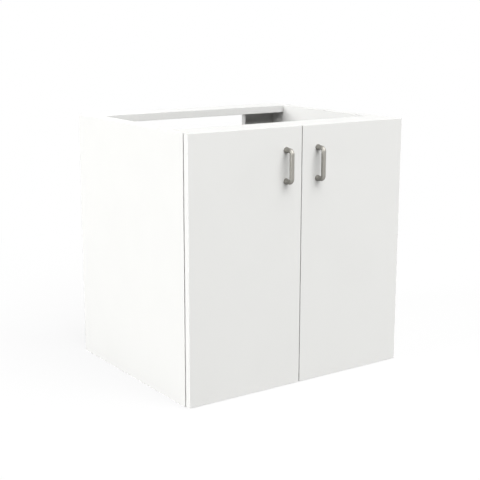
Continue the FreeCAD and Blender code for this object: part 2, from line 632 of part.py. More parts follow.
def make_bumpers():
    """Soft domes on the door's back, in line with the front edges of the bottom panel and the top rail."""
    thick = DOOR_GAP - BUMPER_AIR
    profile = [(0, 0), (BUMPER_R, 0), (BUMPER_R, thick * 0.4), (BUMPER_R - thick * 0.6, thick), (0, thick)]
    domes = [revolve_profile(profile, V(DOOR_FREE - BUMPER_INSET, DOOR_BACK, z), V(0, 1, 0))
             for z in (BOARD / 2, HEIGHT - BOARD / 2)]
    save_pair("{}_door_bumpers", domes)


os.makedirs("parts", exist_ok=True)
make_sides()
make_cleats()
make_bottom()
make_rails()
make_back_strips()
make_fittings()
make_hinges()
make_doors()
make_handles()
make_bumpers()
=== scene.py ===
import json
import math

import bmesh
import bpy
from mathutils import Matrix, Vector


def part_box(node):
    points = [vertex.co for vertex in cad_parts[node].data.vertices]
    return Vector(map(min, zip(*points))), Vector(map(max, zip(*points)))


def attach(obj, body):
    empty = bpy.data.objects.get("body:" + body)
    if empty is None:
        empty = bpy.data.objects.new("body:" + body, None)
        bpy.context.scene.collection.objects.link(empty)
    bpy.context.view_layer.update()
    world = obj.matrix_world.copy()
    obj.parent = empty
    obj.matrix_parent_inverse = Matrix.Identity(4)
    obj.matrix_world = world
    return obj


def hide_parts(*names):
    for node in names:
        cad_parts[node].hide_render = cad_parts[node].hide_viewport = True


# White two-door vanity base cabinet, seen from the front left. Metres; +X right, +Y back, +Z up.

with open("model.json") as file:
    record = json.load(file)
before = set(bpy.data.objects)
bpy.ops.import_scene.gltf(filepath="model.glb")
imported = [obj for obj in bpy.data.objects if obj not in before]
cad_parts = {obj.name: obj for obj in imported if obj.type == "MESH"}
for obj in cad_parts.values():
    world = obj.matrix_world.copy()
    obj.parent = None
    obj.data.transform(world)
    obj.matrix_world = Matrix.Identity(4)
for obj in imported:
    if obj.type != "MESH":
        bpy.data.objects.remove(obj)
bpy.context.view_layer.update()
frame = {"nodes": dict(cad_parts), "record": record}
NODES = frame["nodes"]
BODY_OF = {node: body for body, members in frame["record"]["behaviour"]["bodies"].items() for node in members}
SLOT_OF = {part["node"]: part["material_slot"] for part in frame["record"]["subparts"]}
MM = 0.001
SIDES = ("left", "right")
LEVELS = ("upper", "lower")
WELD = 1e-6  # points nearer than this are one point

# Colours, sRGB
BOARD_WHITE = "E6E6E4"
BOARD_WHITE_DEEP = "E5E5E3"
DOOR_WHITE = "E6E6E4"
DOOR_WHITE_DEEP = "E5E5E3"
EDGE_WHITE = "E8E8E6"
CHIP_PALE = "DCC6A0"
CHIP_TAN = "C9AD80"
CHIP_DARK = "A5855A"
NICKEL_SATIN = "A19F99"
NICKEL_SATIN_DEEP = "8E8C86"
NICKEL_BRIGHT = "C9C6C0"
NICKEL_BRIGHT_DEEP = "BFBCB6"
ZINC_BLUE = "B9BDC2"
ZINC_BLUE_DEEP = "A2A6AC"
ZINC_CAST = "8E9092"
ZINC_CAST_DEEP = "76787B"
BEECH_PALE = "D2AE80"
BEECH_DARK = "B0854F"
BUMPER_CLEAR = "E4E4DE"
FLOOR_PALE = "A2A2A1"
FLOOR_SHADED = "5E5E5E"
ROOM_WHITE = "FFFFFF"


def linear(code):
    """sRGB hex to the linear colour that a shader takes."""
    values = [int(code[i:i + 2], 16) / 255 for i in (0, 2, 4)]
    return [v / 12.92 if v <= 0.04045 else ((v + 0.055) / 1.055) ** 2.4 for v in values] + [1.0]


def add(tree, kind, inputs=None, stops=(), **settings):
    """Adds a node with its settings. inputs gives each socket a value or the output that feeds it, and stops
    gives a colour ramp its places and hex colours."""
    node = tree.nodes.new(kind)
    for name, value in settings.items():
        setattr(node, name, value)
    for i, (place, code) in enumerate(stops):
        if i == len(node.color_ramp.elements):
            node.color_ramp.elements.new(place)
        node.color_ramp.elements[i].position = place
        node.color_ramp.elements[i].color = linear(code)
    for socket, value in (inputs or {}).items():
        if isinstance(value, bpy.types.NodeSocket):
            tree.links.new(value, node.inputs[socket])
        else:
            node.inputs[socket].default_value = value
    return node


def per_mm(size):
    """Texture scale that gives details of this size in millimetres."""
    return 1 / (size * MM)


def new_material(name):
    """Material with an empty node tree, and that tree."""
    material = bpy.data.materials.new(name)
    material.use_nodes = True
    tree = material.node_tree
    tree.nodes.clear()
    return material, tree


def melamine_board(name, across):
    """Particle board faced with white melamine paper. The pressed faces have an even satin sheen with a faint
    pearl texture, drawn coarser than it is so that it shows; the sawn edges that got no edging show tan
    chips, which lie flat in the board. across is the direction of the board's thickness."""
    chip_stretch, sawn_rough = 0.35, 0.9
    material, tree = new_material(name)
    place = add(tree, "ShaderNodeTexCoord").outputs
    pearl = add(tree, "ShaderNodeTexNoise", {
        "Vector": place["Object"], "Scale": per_mm(3.5), "Detail": 3.0, "Roughness": 0.6})
    clouds = add(tree, "ShaderNodeTexNoise", {
        "Vector": place["Object"], "Scale": per_mm(120), "Detail": 2.0})
    face = add(tree, "ShaderNodeValToRGB", {"Fac": clouds.outputs["Fac"]},
               stops=[(0.35, BOARD_WHITE_DEEP), (0.6, BOARD_WHITE)])
    chips_place = add(tree, "ShaderNodeMapping", {
        "Vector": place["Object"], "Scale": [chip_stretch if a == 0 else 1.0 for a in across]})
    chips = add(tree, "ShaderNodeTexVoronoi", {
        "Vector": chips_place.outputs["Vector"], "Scale": per_mm(1.4)})
    shade = add(tree, "ShaderNodeSeparateColor", {"Color": chips.outputs["Color"]})
    sawn = add(tree, "ShaderNodeValToRGB", {"Fac": shade.outputs["Red"]},
               stops=[(0.0, CHIP_DARK), (0.3, CHIP_TAN), (1.0, CHIP_PALE)])
    facing = add(tree, "ShaderNodeVectorMath", {0: place["Normal"], 1: across}, operation="DOT_PRODUCT")
    turned = add(tree, "ShaderNodeMath", {0: facing.outputs["Value"]}, operation="ABSOLUTE")
    faced = add(tree, "ShaderNodeMath", {0: turned.outputs[0], 1: 0.5}, operation="GREATER_THAN")
    colour = add(tree, "ShaderNodeMix", {
        "Factor": faced.outputs[0], "A": sawn.outputs["Color"], "B": face.outputs["Color"]}, data_type="RGBA")
    sheen = add(tree, "ShaderNodeMapRange", {"Value": pearl.outputs["Fac"], "To Min": 0.36, "To Max": 0.44})
    gloss = add(tree, "ShaderNodeMix", {
        "Factor": faced.outputs[0], "A": sawn_rough, "B": sheen.outputs["Result"]})
    relief = add(tree, "ShaderNodeMix", {
        "Factor": faced.outputs[0], "A": chips.outputs["Distance"], "B": pearl.outputs["Fac"]})
    bump = add(tree, "ShaderNodeBump", {
        "Height": relief.outputs["Result"], "Strength": 0.12, "Distance": 0.3 * MM})
    shader = add(tree, "ShaderNodeBsdfPrincipled", {
        "Base Color": colour.outputs["Result"], "IOR": 1.5, "Roughness": gloss.outputs["Result"],
        "Normal": bump.outputs["Normal"]})
    add(tree, "ShaderNodeOutputMaterial", {"Surface": shader.outputs["BSDF"]})
    return material


def white_foil(name):
    """MDF wrapped in white vinyl foil: smooth, with the slight orange peel of the board under the foil, so
    that highlights spread softly."""
    material, tree = new_material(name)
    place = add(tree, "ShaderNodeTexCoord").outputs
    peel = add(tree, "ShaderNodeTexNoise", {
        "Vector": place["Object"], "Scale": per_mm(5), "Detail": 2.0, "Roughness": 0.5})
    clouds = add(tree, "ShaderNodeTexNoise", {
        "Vector": place["Object"], "Scale": per_mm(150), "Detail": 2.0})
    colour = add(tree, "ShaderNodeValToRGB", {"Fac": clouds.outputs["Fac"]},
                 stops=[(0.35, DOOR_WHITE_DEEP), (0.6, DOOR_WHITE)])
    sheen = add(tree, "ShaderNodeMapRange", {"Value": peel.outputs["Fac"], "To Min": 0.38, "To Max": 0.45})
    bump = add(tree, "ShaderNodeBump", {
        "Height": peel.outputs["Fac"], "Strength": 0.08, "Distance": 0.3 * MM})
    shader = add(tree, "ShaderNodeBsdfPrincipled", {
        "Base Color": colour.outputs["Color"], "IOR": 1.5, "Roughness": sheen.outputs["Result"],
        "Normal": bump.outputs["Normal"]})
    add(tree, "ShaderNodeOutputMaterial", {"Surface": shader.outputs["BSDF"]})
    return material


def abs_edging():
    """Extruded ABS strip, scraped flush: a little glossier than the board, with faint scraper ripples."""
    material, tree = new_material("extruded_abs_edging")
    place = add(tree, "ShaderNodeTexCoord").outputs
    ripple = add(tree, "ShaderNodeTexNoise", {
        "Vector": place["Object"], "Scale": per_mm(4), "Detail": 2.0})
    colour = add(tree, "ShaderNodeValToRGB", {"Fac": ripple.outputs["Fac"]},
                 stops=[(0.3, BOARD_WHITE), (0.7, EDGE_WHITE)])
    sheen = add(tree, "ShaderNodeMapRange", {"Value": ripple.outputs["Fac"], "To Min": 0.3, "To Max": 0.4})
    bump = add(tree, "ShaderNodeBump", {
        "Height": ripple.outputs["Fac"], "Strength": 0.08, "Distance": 0.2 * MM})
    shader = add(tree, "ShaderNodeBsdfPrincipled", {
        "Base Color": colour.outputs["Color"], "IOR": 1.53, "Roughness": sheen.outputs["Result"],
        "Normal": bump.outputs["Normal"]})
    add(tree, "ShaderNodeOutputMaterial", {"Surface": shader.outputs["BSDF"]})
    return material


def plated_metal(name, pale, deep, rough, grain, stretch, lift):
    """Metal with a plated or cast skin. grain is the size of its marks in mm, coarser than they are so that
    they show, stretch draws them out into brushing lines, rough is the low and high roughness between them,
    and lift is the strength of their relief."""
    material, tree = new_material(name)
    place = add(tree, "ShaderNodeTexCoord").outputs
    drawn = add(tree, "ShaderNodeMapping", {"Vector": place["Object"], "Scale": stretch})
    marks = add(tree, "ShaderNodeTexNoise", {
        "Vector": drawn.outputs["Vector"], "Scale": per_mm(grain), "Detail": 4.0, "Roughness": 0.65})
    colour = add(tree, "ShaderNodeValToRGB", {"Fac": marks.outputs["Fac"]}, stops=[(0.3, deep), (0.7, pale)])
    sheen = add(tree, "ShaderNodeMapRange", {
        "Value": marks.outputs["Fac"], "From Min": 0.3, "From Max": 0.7, "To Min": rough[0],
        "To Max": rough[1]})
    bump = add(tree, "ShaderNodeBump", {
        "Height": marks.outputs["Fac"], "Strength": lift, "Distance": 0.1 * MM})
    shader = add(tree, "ShaderNodeBsdfPrincipled", {
        "Base Color": colour.outputs["Color"], "Metallic": 1.0, "Roughness": sheen.outputs["Result"],
        "Normal": bump.outputs["Normal"]})
    add(tree, "ShaderNodeOutputMaterial", {"Surface": shader.outputs["BSDF"]})
    return material


def turned_beech():
    """Fluted beech dowel: warm, with short dark flecks along the grain."""
    material, tree = new_material("turned_beech")
    place = add(tree, "ShaderNodeTexCoord").outputs
    along = add(tree, "ShaderNodeMapping", {"Vector": place["Object"], "Scale": (0.1, 1.0, 1.0)})
    fleck = add(tree, "ShaderNodeTexNoise", {
        "Vector": along.outputs["Vector"], "Scale": per_mm(0.8), "Detail": 3.0})
    colour = add(tree, "ShaderNodeValToRGB", {"Fac": fleck.outputs["Fac"]},
                 stops=[(0.35, BEECH_DARK), (0.55, BEECH_PALE)])
    bump = add(tree, "ShaderNodeBump", {
        "Height": fleck.outputs["Fac"], "Strength": 0.2, "Distance": 0.2 * MM})
    shader = add(tree, "ShaderNodeBsdfPrincipled", {
        "Base Color": colour.outputs["Color"], "Roughness": 0.6, "Normal": bump.outputs["Normal"]})
    add(tree, "ShaderNodeOutputMaterial", {"Surface": shader.outputs["BSDF"]})
    return material


def cast_polyurethane():
    """Soft clear door bumper: milky where thick, with a dull moulded skin."""
    material, tree = new_material("cast_polyurethane")
    place = add(tree, "ShaderNodeTexCoord").outputs
    skin = add(tree, "ShaderNodeTexNoise", {
        "Vector": place["Object"], "Scale": per_mm(1.5), "Detail": 2.0})
    sheen = add(tree, "ShaderNodeMapRange", {"Value": skin.outputs["Fac"], "To Min": 0.18, "To Max": 0.34})
    shader = add(tree, "ShaderNodeBsdfPrincipled", {
        "Base Color": linear(BUMPER_CLEAR), "IOR": 1.5, "Roughness": sheen.outputs["Result"],
        "Transmission Weight": 0.55})
    add(tree, "ShaderNodeOutputMaterial", {"Surface": shader.outputs["BSDF"]})
    return material


# Thickness directions of the carcass boards
ACROSS = {"side": (1.0, 0.0, 0.0), "flat": (0.0, 0.0, 1.0), "strip": (0.0, 1.0, 0.0)}
BOARD_KIND = {"bottom_panel": "flat", "front_top_rail": "flat", "rear_top_rail": "flat"}
for side in SIDES:
    BOARD_KIND.update({side + "_side": "side", side + "_back_strip": "strip"})

# Ways in which a metal's marks are drawn out
BRUSHED_UPRIGHT = (1.0, 1.0, 0.06)
ROLLED_IN_DEPTH = (1.0, 0.2, 1.0)
NOT_DRAWN = (1.0, 1.0, 1.0)

BOARDS = {kind: melamine_board("melamine_" + kind, across) for kind, across in ACROSS.items()}
DOOR_FOIL = white_foil("vinyl_foil_on_mdf")
CLEAT_FOIL = white_foil("vinyl_foil_on_batten")
EDGING = abs_edging()
# Handles, brushed along the rod before plating: fine lines, and dull highlights that spread across the rod
SATIN_NICKEL = plated_metal("satin_brushed_nickel", NICKEL_SATIN, NICKEL_SATIN_DEEP, rough=(0.40, 0.52),
                            grain=0.6, stretch=BRUSHED_UPRIGHT, lift=0.1)
# Hinges, pressed from smooth sheet and plated with their pins: nearly a mirror, with faint rolling marks
BRIGHT_NICKEL = plated_metal("nickel_plated_pressed_steel", NICKEL_BRIGHT, NICKEL_BRIGHT_DEEP,
                             rough=(0.18, 0.25), grain=0.9, stretch=ROLLED_IN_DEPTH, lift=0.03)
# Screws and cam bolts, plated in a barrel: cool and a little cloudy
ZINC_PLATE = plated_metal("zinc_plated_steel", ZINC_BLUE, ZINC_BLUE_DEEP, rough=(0.28, 0.42), grain=0.8,
                          stretch=NOT_DRAWN, lift=0.1)
# Cam locks, die cast and left bare: grey and matt, with a grainy skin
ZINC_CASTING = plated_metal("die_cast_zinc", ZINC_CAST, ZINC_CAST_DEEP, rough=(0.42, 0.58), grain=0.7,
                            stretch=NOT_DRAWN, lift=0.25)
BEECH = turned_beech()
BUMPER = cast_polyurethane()
FINISH = {"door_board": DOOR_FOIL, "edging": EDGING, "satin_nickel": SATIN_NICKEL,
          "nickel_plated_steel": BRIGHT_NICKEL, "zinc_plated_steel": ZINC_PLATE, "zinc_casting": ZINC_CASTING,
          "beech": BEECH, "clear_rubber": BUMPER}


def finish_of(node):
    """Material of a node: by its thickness direction for a carcass board, otherwise by its slot."""
    if node in BOARD_KIND:
        return BOARDS[BOARD_KIND[node]]
    return CLEAT_FOIL if node.endswith("_side_cleat") else FINISH[SLOT_OF[node]]


for node, obj in NODES.items():
    obj.data.materials.clear()
    obj.data.materials.append(finish_of(node))


def settled(piece, body, slot, *stands_for):
    """Fixes a finished piece to its body and hides the nodes that it stands for."""
    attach(piece, body)
    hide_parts(*stands_for)


def as_mesh(maker, name):
    """Plain mesh object from an object whose modifiers made the shape; the maker is removed."""
    bpy.context.view_layer.update()
    made = bpy.data.meshes.new_from_object(maker.evaluated_get(bpy.context.evaluated_depsgraph_get()))
    bpy.data.objects.remove(maker)
    made.name = name
    piece = bpy.data.objects.new(name, made)
    bpy.context.scene.collection.objects.link(piece)
    return piece


def merged(node):
    """Working copy of a node's mesh, with the doubled points of its loose triangles joined and the triangles
    of a flat face made one face."""
    flat_within = 0.5  # degrees
    mesh = NODES[node].data.copy()
    shape = bmesh.new()
    shape.from_mesh(mesh)
    bmesh.ops.remove_doubles(shape, verts=shape.verts, dist=WELD)
    bmesh.ops.dissolve_limit(shape, angle_limit=math.radians(flat_within), verts=shape.verts,
                             edges=shape.edges)
    shape.to_mesh(mesh)
    shape.free()
    maker = bpy.data.objects.new(node + "_maker", mesh)
    bpy.context.scene.collection.objects.link(maker)
    return maker


def eased(node, width=0.0, angle=35):
    """A node's shape with its round faces smooth and its arrises rounded off by a width in mm, as a press or
    a tumbling barrel leaves them. Edges that turn by more than the angle in degrees are arrises."""
    maker = merged(node)
    maker.data.shade_smooth()
    maker.data.set_sharp_from_angle(angle=math.radians(angle))
    if width:
        bevel = maker.modifiers.new("eased arrises", "BEVEL")
        bevel.width = width * MM
        bevel.segments = 2
        bevel.limit_method = "ANGLE"
        bevel.angle_limit = math.radians(angle)
        even = maker.modifiers.new("flat faces stay flat", "WEIGHTED_NORMAL")
        even.weight = 100
    settled(as_mesh(maker, node + "_eased"), BODY_OF[node], SLOT_OF[node], node)


# Hinge pressings, with the edges that a press leaves, then small round pieces
PRESSED_EDGE = 0.3  # mm
for side in SIDES:
    for level in LEVELS:
        for part in ("hinge_cup", "hinge_arm", "mounting_plate", "outer_link", "inner_link"):
            eased(f"{level}_{side}_{part}", PRESSED_EDGE)
    for part in ("cup_pins", "link_pins", "door_bumpers"):
        eased(f"{side}_{part}")
for node in ("cam_locks", "cam_bolts", "dowels", "hinge_arm_pins"):
    eased(node)


def new_tree(name, sizes):
    """Empty geometry tree whose inputs carry the names and kinds in sizes."""
    tree = bpy.data.node_groups.new(name, "GeometryNodeTree")
    tree.interface.new_socket("Geometry", in_out="INPUT", socket_type="NodeSocketGeometry")
    for size, kind in sizes.items():
        tree.interface.new_socket(size, in_out="INPUT", socket_type="NodeSocket" + kind)
    tree.interface.new_socket("Geometry", in_out="OUTPUT", socket_type="NodeSocketGeometry")
    return tree


def grown(tree, mesh, values):
    """Object that a geometry tree shapes; its named inputs are set before it is first evaluated."""
    maker = bpy.data.objects.new(tree.name + "_maker", mesh)
    modifier = maker.modifiers.new(tree.name, "NODES")
    modifier.node_group = tree
    for socket in tree.interface.items_tree:
        if socket.in_out == "INPUT" and socket.name in values:
            modifier[socket.identifier] = values[socket.name]
    bpy.context.scene.collection.objects.link(maker)
    return maker


def handle_tree():
    """Round rod bent twice: four corners, rounded bends, and a radius that flares into the feet. Corners 0
    and 3 are on the door, 1 and 2 are the bends."""
    bend_steps, step, section_sides = 16, 0.35 * MM, 40
    rim_height, rim_round = 0.8 * MM, 0.4 * MM
    tree = new_tree("bow_handle", {
        "Foot Pitch": "Float", "Axis Reach": "Float", "Bend Radius": "Float", "Rod Radius": "Float",
        "Foot Radius": "Float", "Foot Height": "Float", "Middle": "Vector", "Finish": "Material"})
    size = add(tree, "NodeGroupInput").outputs
    corners = add(tree, "GeometryNodeMeshLine", {"Count": 4})
    corner = add(tree, "GeometryNodeInputIndex")
    upper = add(tree, "ShaderNodeMath", {0: corner.outputs[0], 1: 1.5}, operation="LESS_THAN")
    level = add(tree, "ShaderNodeMath", {0: upper.outputs[0], 1: 0.5}, operation="SUBTRACT")
    height = add(tree, "ShaderNodeMath", {0: level.outputs[0], 1: size["Foot Pitch"]}, operation="MULTIPLY")
    bar = add(tree, "ShaderNodeMath", {0: corner.outputs[0], 1: 1.5, 2: 1.0}, operation="COMPARE")
    reach = add(tree, "ShaderNodeMath", {0: bar.outputs[0], 1: size["Axis Reach"]}, operation="MULTIPLY")
    front = add(tree, "ShaderNodeMath", {0: reach.outputs[0], 1: -1.0}, operation="MULTIPLY")
    offset = add(tree, "ShaderNodeCombineXYZ", {"Y": front.outputs[0], "Z": height.outputs[0]})
    place = add(tree, "ShaderNodeVectorMath", {0: offset.outputs[0], 1: size["Middle"]}, operation="ADD")
    bent = add(tree, "GeometryNodeSetPosition", {
        "Geometry": corners.outputs[0], "Position": place.outputs[0]})
    path = add(tree, "GeometryNodeMeshToCurve", {"Mesh": bent.outputs[0]})
    eased_path = add(tree, "GeometryNodeFilletCurve", {
        "Curve": path.outputs[0], "Count": bend_steps, "Radius": size["Bend Radius"]}, mode="POLY")
    steps = add(tree, "GeometryNodeResampleCurve", {
        "Curve": eased_path.outputs[0], "Length": step}, mode="LENGTH")
    along = add(tree, "GeometryNodeSplineParameter")
    whole = add(tree, "GeometryNodeSplineLength")
    left_over = add(tree, "ShaderNodeMath", {
        0: whole.outputs["Length"], 1: along.outputs["Length"]}, operation="SUBTRACT")
    off_door = add(tree, "ShaderNodeMath", {
        0: along.outputs["Length"], 1: left_over.outputs[0]}, operation="MINIMUM")
    flare = add(tree, "ShaderNodeMapRange", {
        "Value": off_door.outputs[0], "From Max": size["Foot Height"], "To Min": size["Foot Radius"],
        "To Max": size["Rod Radius"]}, interpolation_type="SMOOTHSTEP")
    rim = add(tree, "ShaderNodeMapRange", {
        "Value": off_door.outputs[0], "From Max": rim_height, "To Min": -rim_round, "To Max": 0.0})
    radius = add(tree, "ShaderNodeMath", {
        0: flare.outputs["Result"], 1: rim.outputs["Result"]}, operation="ADD")
    round_section = add(tree, "GeometryNodeCurvePrimitiveCircle", {
        "Resolution": section_sides, "Radius": 1.0})
    skin = add(tree, "GeometryNodeCurveToMesh", {
        "Curve": steps.outputs[0], "Profile Curve": round_section.outputs[0], "Scale": radius.outputs[0],
        "Fill Caps": True})
    smooth = add(tree, "GeometryNodeSetShadeSmooth", {"Geometry": skin.outputs[0]})
    real = add(tree, "GeometryNodeRealizeInstances", {"Geometry": smooth.outputs[0]})
    clad = add(tree, "GeometryNodeSetMaterial", {"Geometry": real.outputs[0], "Material": size["Finish"]})
    add(tree, "NodeGroupOutput", {"Geometry": clad.outputs[0]})
    return tree


def screw_tree():
    """Cross-headed screws: rings along the axis give a domed or countersunk head and a shank with a tip, two
    bars cut the recess, and one screw goes on each point, driven along that point's own direction."""
    head_rings, rings, section_sides = 10, 14, 28
    tip, tip_radius, shoulder = 1.5 * MM, 0.4 * MM, 0.01 * MM
    dome_rise, dome_round, crown_least = 2.6, 0.42, 0.05
    recess_span = 1.15
    tree = new_tree("cross_head_screws", {
        "Length": "Float", "Shank Radius": "Float", "Head Radius": "Float", "Head Height": "Float",
        "Countersunk": "Bool", "Recess Width": "Float", "Recess Depth": "Float", "Seed": "Int",
        "Finish": "Material"})
    size = add(tree, "NodeGroupInput").outputs
    axis = add(tree, "GeometryNodeMeshLine", {"Count": rings})
    ring = add(tree, "GeometryNodeInputIndex")

    # Radius of each ring of the head, where down runs from 0 at the top to 1 at the shank
    down = add(tree, "ShaderNodeMapRange", {"Value": ring.outputs[0], "From Max": float(head_rings)})
    rise = add(tree, "ShaderNodeMath", {0: 1.0, 1: down.outputs[0]}, operation="SUBTRACT")
    arch = add(tree, "ShaderNodeMath", {0: rise.outputs[0], 1: dome_rise}, operation="POWER")
    fall = add(tree, "ShaderNodeMath", {0: 1.0, 1: arch.outputs[0]}, operation="SUBTRACT")
    dome = add(tree, "ShaderNodeMath", {0: fall.outputs[0], 1: dome_round}, operation="POWER")
    crown = add(tree, "ShaderNodeMath", {0: dome.outputs[0], 1: crown_least}, operation="MAXIMUM")
    pan = add(tree, "ShaderNodeMath", {0: crown.outputs[0], 1: size["Head Radius"]}, operation="MULTIPLY")
    cone = add(tree, "ShaderNodeMapRange", {
        "Value": down.outputs[0], "To Min": size["Head Radius"], "To Max": size["Shank Radius"]})
    head = add(tree, "GeometryNodeSwitch", {
        "Switch": size["Countersunk"], "False": pan.outputs[0], "True": cone.outputs[0]}, input_type="FLOAT")
    sink = add(tree, "ShaderNodeMath", {
        0: size["Head Radius"], 1: size["Shank Radius"]}, operation="SUBTRACT")
    deep = add(tree, "GeometryNodeSwitch", {
        "Switch": size["Countersunk"], "False": size["Head Height"], "True": sink.outputs[0]},
        input_type="FLOAT")

    # Radius of the rings below the head, the last of which is the tip
    on_shank = add(tree, "ShaderNodeMath", {
        0: ring.outputs[0], 1: head_rings + 0.5}, operation="GREATER_THAN")
    at_tip = add(tree, "ShaderNodeMath", {0: ring.outputs[0], 1: rings - 1.5}, operation="GREATER_THAN")
    taper = add(tree, "ShaderNodeMapRange", {
        "Value": at_tip.outputs[0], "To Min": size["Shank Radius"], "To Max": tip_radius})
    radius = add(tree, "GeometryNodeSwitch", {
        "Switch": on_shank.outputs[0], "False": head.outputs[0], "True": taper.outputs[0]},
        input_type="FLOAT")

    # Place of each ring along the axis
    straight = add(tree, "ShaderNodeMath", {0: size["Length"], 1: deep.outputs[0]}, operation="SUBTRACT")
    below = add(tree, "ShaderNodeMapRange", {
        "Value": ring.outputs[0], "From Min": head_rings + 1.0, "From Max": rings - 2.0, "To Min": shoulder,
        "To Max": straight.outputs[0]})
    point_down = add(tree, "ShaderNodeMath", {0: at_tip.outputs[0], 1: -tip}, operation="MULTIPLY")
    shank_end = add(tree, "ShaderNodeMath", {0: below.outputs[0], 1: -tip}, operation="ADD")
    shank_low = add(tree, "ShaderNodeMath", {
        0: shank_end.outputs[0], 1: point_down.outputs[0]}, operation="SUBTRACT")
    shank_at = add(tree, "ShaderNodeMath", {0: shank_low.outputs[0], 1: shoulder}, operation="MAXIMUM")
    shank_z = add(tree, "ShaderNodeMath", {0: shank_at.outputs[0], 1: deep.outputs[0]}, operation="ADD")
    head_z = add(tree, "ShaderNodeMath", {0: down.outputs[0], 1: deep.outputs[0]}, operation="MULTIPLY")
    z = add(tree, "GeometryNodeSwitch", {
        "Switch": on_shank.outputs[0], "False": head_z.outputs[0], "True": shank_z.outputs[0]},
        input_type="FLOAT")
    place = add(tree, "ShaderNodeCombineXYZ", {"Z": z.outputs[0]})
    stations = add(tree, "GeometryNodeSetPosition", {
        "Geometry": axis.outputs[0], "Position": place.outputs[0]})
    spine = add(tree, "GeometryNodeMeshToCurve", {"Mesh": stations.outputs[0]})
    round_section = add(tree, "GeometryNodeCurvePrimitiveCircle", {
        "Resolution": section_sides, "Radius": 1.0})
    blank = add(tree, "GeometryNodeCurveToMesh", {
        "Curve": spine.outputs[0], "Profile Curve": round_section.outputs[0], "Scale": radius.outputs[0],
        "Fill Caps": True})

    # Cross recess
    reach = add(tree, "ShaderNodeMath", {0: size["Head Radius"], 1: recess_span}, operation="MULTIPLY")
    sunk = add(tree, "ShaderNodeMath", {0: size["Recess Depth"], 1: 2.0}, operation="MULTIPLY")
    driven = add(tree, "GeometryNodeMeshBoolean", {"Mesh 1": blank.outputs[0]}, operation="DIFFERENCE",
                 solver="MANIFOLD")
    for long_way, short_way in (("X", "Y"), ("Y", "X")):
        extent = add(tree, "ShaderNodeCombineXYZ", {
            long_way: reach.outputs[0], short_way: size["Recess Width"], "Z": sunk.outputs[0]})
        bar = add(tree, "GeometryNodeMeshCube", {"Size": extent.outputs[0]})
        tree.links.new(bar.outputs["Mesh"], driven.inputs["Mesh 2"])

    # One screw on each point, stopped at a turn of its own
    drive = add(tree, "GeometryNodeInputNamedAttribute", {"Name": "drive"}, data_type="FLOAT_VECTOR")
    aimed = add(tree, "FunctionNodeAlignRotationToVector", {"Vector": drive.outputs["Attribute"]}, axis="Z")
    stop = add(tree, "FunctionNodeRandomValue", {"Min": 0.0, "Max": math.tau, "Seed": size["Seed"]})
    turn = add(tree, "FunctionNodeAxisAngleToRotation", {
        "Axis": (0.0, 0.0, 1.0), "Angle": stop.outputs["Value"]})
    set_in = add(tree, "FunctionNodeRotateRotation", {
        "Rotation": aimed.outputs[0], "Rotate By": turn.outputs[0]}, rotation_space="LOCAL")
    copies = add(tree, "GeometryNodeInstanceOnPoints", {
        "Points": size["Geometry"], "Instance": driven.outputs["Mesh"], "Rotation": set_in.outputs[0]})
    real = add(tree, "GeometryNodeRealizeInstances", {"Geometry": copies.outputs[0]})
    smooth = add(tree, "GeometryNodeSetShadeSmooth", {"Geometry": real.outputs[0]})
    clad = add(tree, "GeometryNodeSetMaterial", {"Geometry": smooth.outputs[0], "Material": size["Finish"]})
    add(tree, "NodeGroupOutput", {"Geometry": clad.outputs[0]})
    return tree


# Handles, at the radii and the foot height of their solids in mm, crisp where they turn by more than an angle
HANDLE_ROD, HANDLE_FOOT, HANDLE_FOOT_HEIGHT, HANDLE_BEND = 5.25, 7.0, 12.0, 8.0
HANDLE_CRISP = 40  # degrees
bow_handle = handle_tree()
for side in SIDES:
    low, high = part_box(side + "_handle")
    pitch = high[2] - low[2] - 2 * HANDLE_FOOT * MM
    reach = high[1] - low[1] - HANDLE_ROD * MM
    middle = ((low[0] + high[0]) / 2, high[1], (low[2] + high[2]) / 2)
    maker = grown(bow_handle, bpy.data.meshes.new(side + "_handle"), {
        "Foot Pitch": pitch, "Axis Reach": reach, "Bend Radius": HANDLE_BEND * MM,
        "Rod Radius": HANDLE_ROD * MM, "Foot Radius": HANDLE_FOOT * MM,
        "Foot Height": HANDLE_FOOT_HEIGHT * MM, "Middle": middle, "Finish": SATIN_NICKEL})
    bow = as_mesh(maker, side + "_bow_handle")
    bow.data.set_sharp_from_angle(angle=math.radians(HANDLE_CRISP))
    settled(bow, side + "_door", "satin_nickel", side + "_handle")


def solids_of(node):
    """Low and high corners of each separate solid in a node."""
    shape = bmesh.new()
    shape.from_mesh(NODES[node].data)
    bmesh.ops.remove_doubles(shape, verts=shape.verts, dist=WELD)
    left, boxes = set(shape.verts), []
    while left:
        group, edge = set(), [left.pop()]
        while edge:
            vert = edge.pop()
            group.add(vert)
            near = {e.other_vert(vert) for e in vert.link_edges} & left
            left -= near
            edge += near
        boxes.append([Vector(pick(v.co[i] for v in group) for i in range(3)) for pick in (min, max)])
    shape.free()
    return boxes


